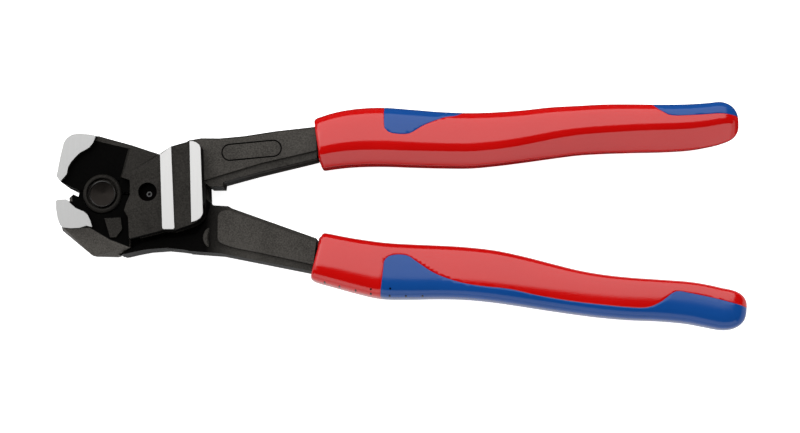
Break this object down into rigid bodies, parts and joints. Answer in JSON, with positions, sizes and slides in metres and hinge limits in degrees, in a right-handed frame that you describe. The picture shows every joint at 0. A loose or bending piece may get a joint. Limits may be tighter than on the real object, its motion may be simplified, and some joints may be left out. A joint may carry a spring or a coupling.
{
  "type": "end cutting nippers",
  "caption": "End cutting nippers with a linked jaw head, forged steel levers and two-colour moulded grips, lying flat.",
  "frame": {"origin": "centre of the front ground land on the underside of the head, on the line through the two pivots", "axes": "+X from the jaws to the grips, +Y up the picture, +Z out of the upper flat side of the head"},
  "size_m": [0.1994, 0.0655, 0.024],
  "materials": {
    "jaw_steel": "blackened forged steel, ground bright at the edges",
    "lever_steel": "blackened forged steel with two ground lands",
    "pin_steel": "dark turned steel",
    "red_grip": "satin moulded plastic",
    "blue_grip": "soft moulded inlay"
  },
  "bodies": {
    "upper_lever": {"upper_handle": "lever_steel", "handle_pivot_pin": "pin_steel", "upper_link_pin": "pin_steel", "upper_grip_shell": "red_grip", "upper_grip_inlays": "blue_grip"},
    "lower_lever": {"lower_handle": "lever_steel", "lower_link_pin": "pin_steel", "lower_grip_shell": "red_grip", "lower_grip_inlay": "blue_grip"},
    "upper_bite": {"upper_jaw": "jaw_steel", "jaw_pivot_bolt": "pin_steel", "jaw_pivot_nut": "pin_steel"},
    "lower_bite": {"lower_jaw": "jaw_steel"}
  },
  "joints": [
    {"name": "handle_pivot", "type": "hinge", "parent": "upper_lever", "child": "lower_lever", "pos_m": [-0.0057, 0, 0.012], "axis": [0, 0, 1], "range_deg": [0, 11]},
    {"name": "upper_jaw_link", "type": "hinge", "parent": "upper_lever", "child": "upper_bite", "pos_m": [-0.01462, 0.008, 0.012], "axis": [0, 0, 1], "range_deg": [0, 17.2]},
    {"name": "lower_jaw_link", "type": "hinge", "parent": "lower_lever", "child": "lower_bite", "pos_m": [-0.01462, -0.008, 0.012], "axis": [0, 0, -1], "range_deg": [0, 17.2]}
  ],
  "couplings": [
    {"joint": "upper_jaw_link", "follows": "handle_pivot", "ratio": 1.56},
    {"joint": "lower_jaw_link", "follows": "handle_pivot", "ratio": 1.56}
  ]
}
